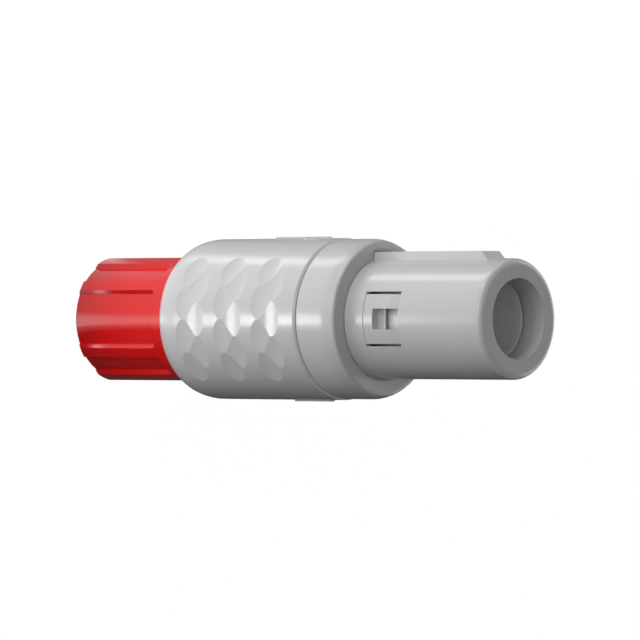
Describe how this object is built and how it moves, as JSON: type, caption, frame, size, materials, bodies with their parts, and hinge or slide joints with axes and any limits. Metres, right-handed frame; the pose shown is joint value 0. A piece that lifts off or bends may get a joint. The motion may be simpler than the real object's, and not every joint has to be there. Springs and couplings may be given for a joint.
{
  "type": "connector plug",
  "caption": "Round push-pull cable plug: fluted red cable nut, scalloped grey release grip, and a keyed nose tube with a latch on each side.",
  "frame": {"origin": "centre of the cable nut's rear face, on the plug's axis, which is the bottom of its box", "axes": "+Z along the plug's axis towards the nose, +X towards the key rib, +Y and -Y towards the two latches"},
  "size_m": [0.0144, 0.014, 0.0465],
  "materials": {
    "grip_plastic": "satin moulded plastic",
    "nut_plastic": "glossy moulded plastic",
    "clamp_plastic": "natural moulded plastic",
    "inner_plastic": "moulded plastic",
    "insulator_plastic": "moulded plastic",
    "contact_metal": "gold-plated"
  },
  "bodies": {
    "core": {"rear_body": "inner_plastic", "plug_nose": "grip_plastic", "insulator": "insulator_plastic", "contact_wafer": "insulator_plastic", "carrier_half_front": "inner_plastic", "carrier_half_back": "inner_plastic", "contact_1": "contact_metal", "contact_2": "contact_metal", "contact_3": "contact_metal", "contact_4": "contact_metal", "contact_5": "contact_metal", "contact_6": "contact_metal", "contact_7": "contact_metal"},
    "release_shell": {"outer_shell": "grip_plastic", "front_ring": "grip_plastic"},
    "latch_left": {"latch_left": "grip_plastic"},
    "latch_right": {"latch_right": "grip_plastic"},
    "clamp": {"collet": "clamp_plastic"},
    "nut": {"collet_nut": "nut_plastic"}
  },
  "joints": [
    {"name": "shell_slide", "type": "slide", "parent": "core", "child": "release_shell", "axis": [0, 0, -1], "range_m": [0, 0.0012], "stiffness_N_per_m": 500},
    {"name": "latch_left_flex", "type": "hinge", "parent": "core", "child": "latch_left", "pos_m": [0, 0.00438, 0.0259], "axis": [1, 0, 0], "range_deg": [0, 2]},
    {"name": "latch_right_flex", "type": "hinge", "parent": "core", "child": "latch_right", "pos_m": [0, -0.00438, 0.0259], "axis": [-1, 0, 0], "range_deg": [0, 2]},
    {"name": "nut_advance", "type": "slide", "parent": "core", "child": "clamp", "axis": [0, 0, -1], "range_m": [0, 0.0015]},
    {"name": "nut_turn", "type": "hinge", "parent": "clamp", "child": "nut", "pos_m": [0, 0, 0.005], "axis": [0, 0, -1], "range_deg": [0, 720]}
  ],
  "couplings": [
    {"joint": "latch_left_flex", "follows": "shell_slide", "rad_per_m": 29},
    {"joint": "latch_right_flex", "follows": "shell_slide", "rad_per_m": 29},
    {"joint": "nut_turn", "follows": "nut_advance", "rad_per_m": 8377.5}
  ]
}
